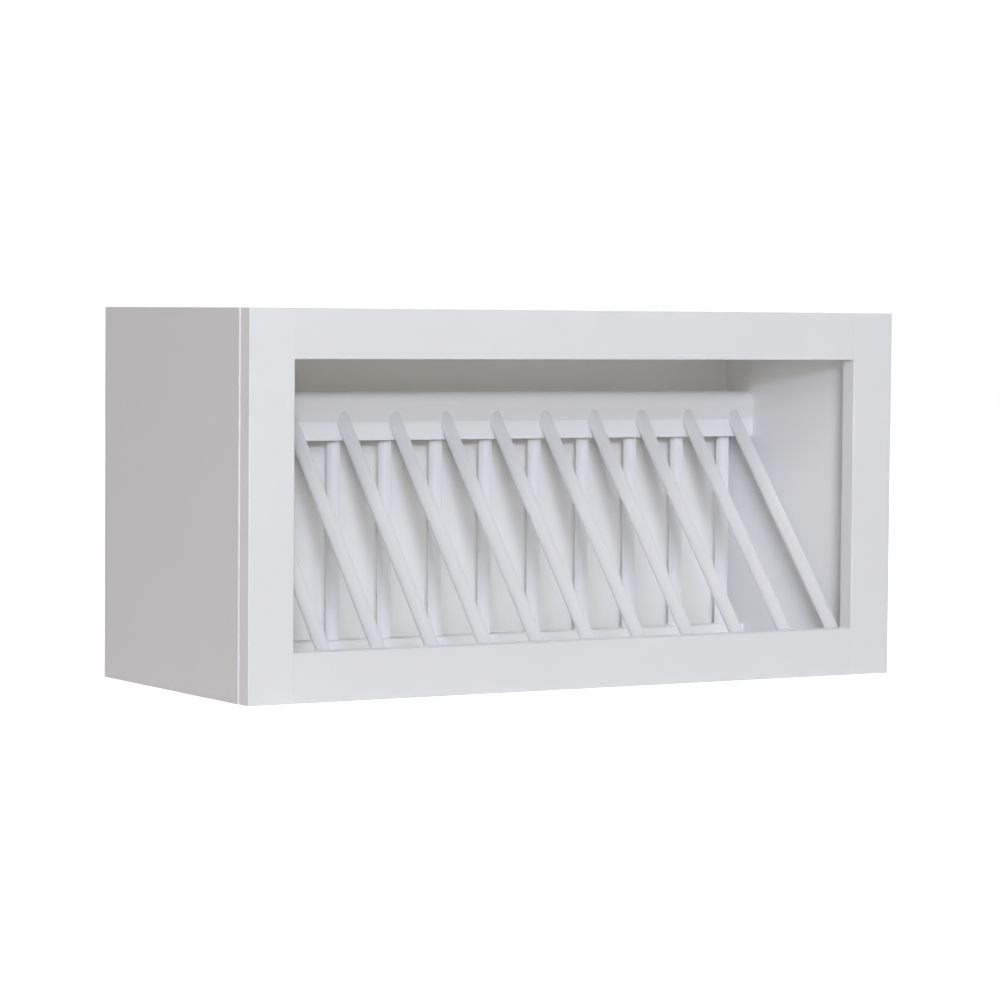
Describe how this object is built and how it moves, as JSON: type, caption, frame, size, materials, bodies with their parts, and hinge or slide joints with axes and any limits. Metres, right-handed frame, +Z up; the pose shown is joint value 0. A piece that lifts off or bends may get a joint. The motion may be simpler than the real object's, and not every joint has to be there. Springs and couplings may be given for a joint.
{
  "type": "wall cabinet",
  "caption": "Open-fronted framed wall cabinet in white paint, with a built-in plate rack of sloped and upright dowels between rails.",
  "frame": {"origin": "middle of the bottom, in the plane on which the side panels and the face frame stand", "axes": "+X to the right seen from the front, +Y from the open front to the wall, +Z up"},
  "size_m": [0.762, 0.324, 0.381],
  "materials": {
    "panel_paint": "satin white paint on plywood panels",
    "back_paint": "satin white paint on the front face, bare birch plywood behind",
    "frame_paint": "satin white paint on hardwood",
    "rack_paint": "satin white paint on turned and planed hardwood",
    "birch": "bare birch, sanded",
    "zinc_steel": "bright zinc plate"
  },
  "bodies": {
    "root": {"left_side_panel": "panel_paint", "right_side_panel": "panel_paint", "top_panel": "panel_paint", "bottom_panel": "panel_paint", "back_panel": "back_paint", "upper_hanging_rail": "birch", "lower_hanging_rail": "birch", "left_stile": "frame_paint", "right_stile": "frame_paint", "top_frame_rail": "frame_paint", "bottom_frame_rail": "frame_paint", "rack_cap_rail": "rack_paint", "rack_header_rail": "rack_paint", "rack_back_sill": "rack_paint", "rack_front_sill": "rack_paint", "cap_rail_pins": "birch", "sill_screws": "zinc_steel", "header_screws": "zinc_steel", "hanging_rail_screws": "zinc_steel", "sloped_dowel_01": "rack_paint", "sloped_dowel_02": "rack_paint", "sloped_dowel_03": "rack_paint", "sloped_dowel_04": "rack_paint", "sloped_dowel_05": "rack_paint", "sloped_dowel_06": "rack_paint", "sloped_dowel_07": "rack_paint", "sloped_dowel_08": "rack_paint", "sloped_dowel_09": "rack_paint", "sloped_dowel_10": "rack_paint", "sloped_dowel_11": "rack_paint", "sloped_dowel_12": "rack_paint", "upright_dowel_01": "rack_paint", "upright_dowel_02": "rack_paint", "upright_dowel_03": "rack_paint", "upright_dowel_04": "rack_paint", "upright_dowel_05": "rack_paint", "upright_dowel_06": "rack_paint", "upright_dowel_07": "rack_paint", "upright_dowel_08": "rack_paint", "upright_dowel_09": "rack_paint", "upright_dowel_10": "rack_paint", "upright_dowel_11": "rack_paint", "upright_dowel_12": "rack_paint"}
  },
  "joints": []
}
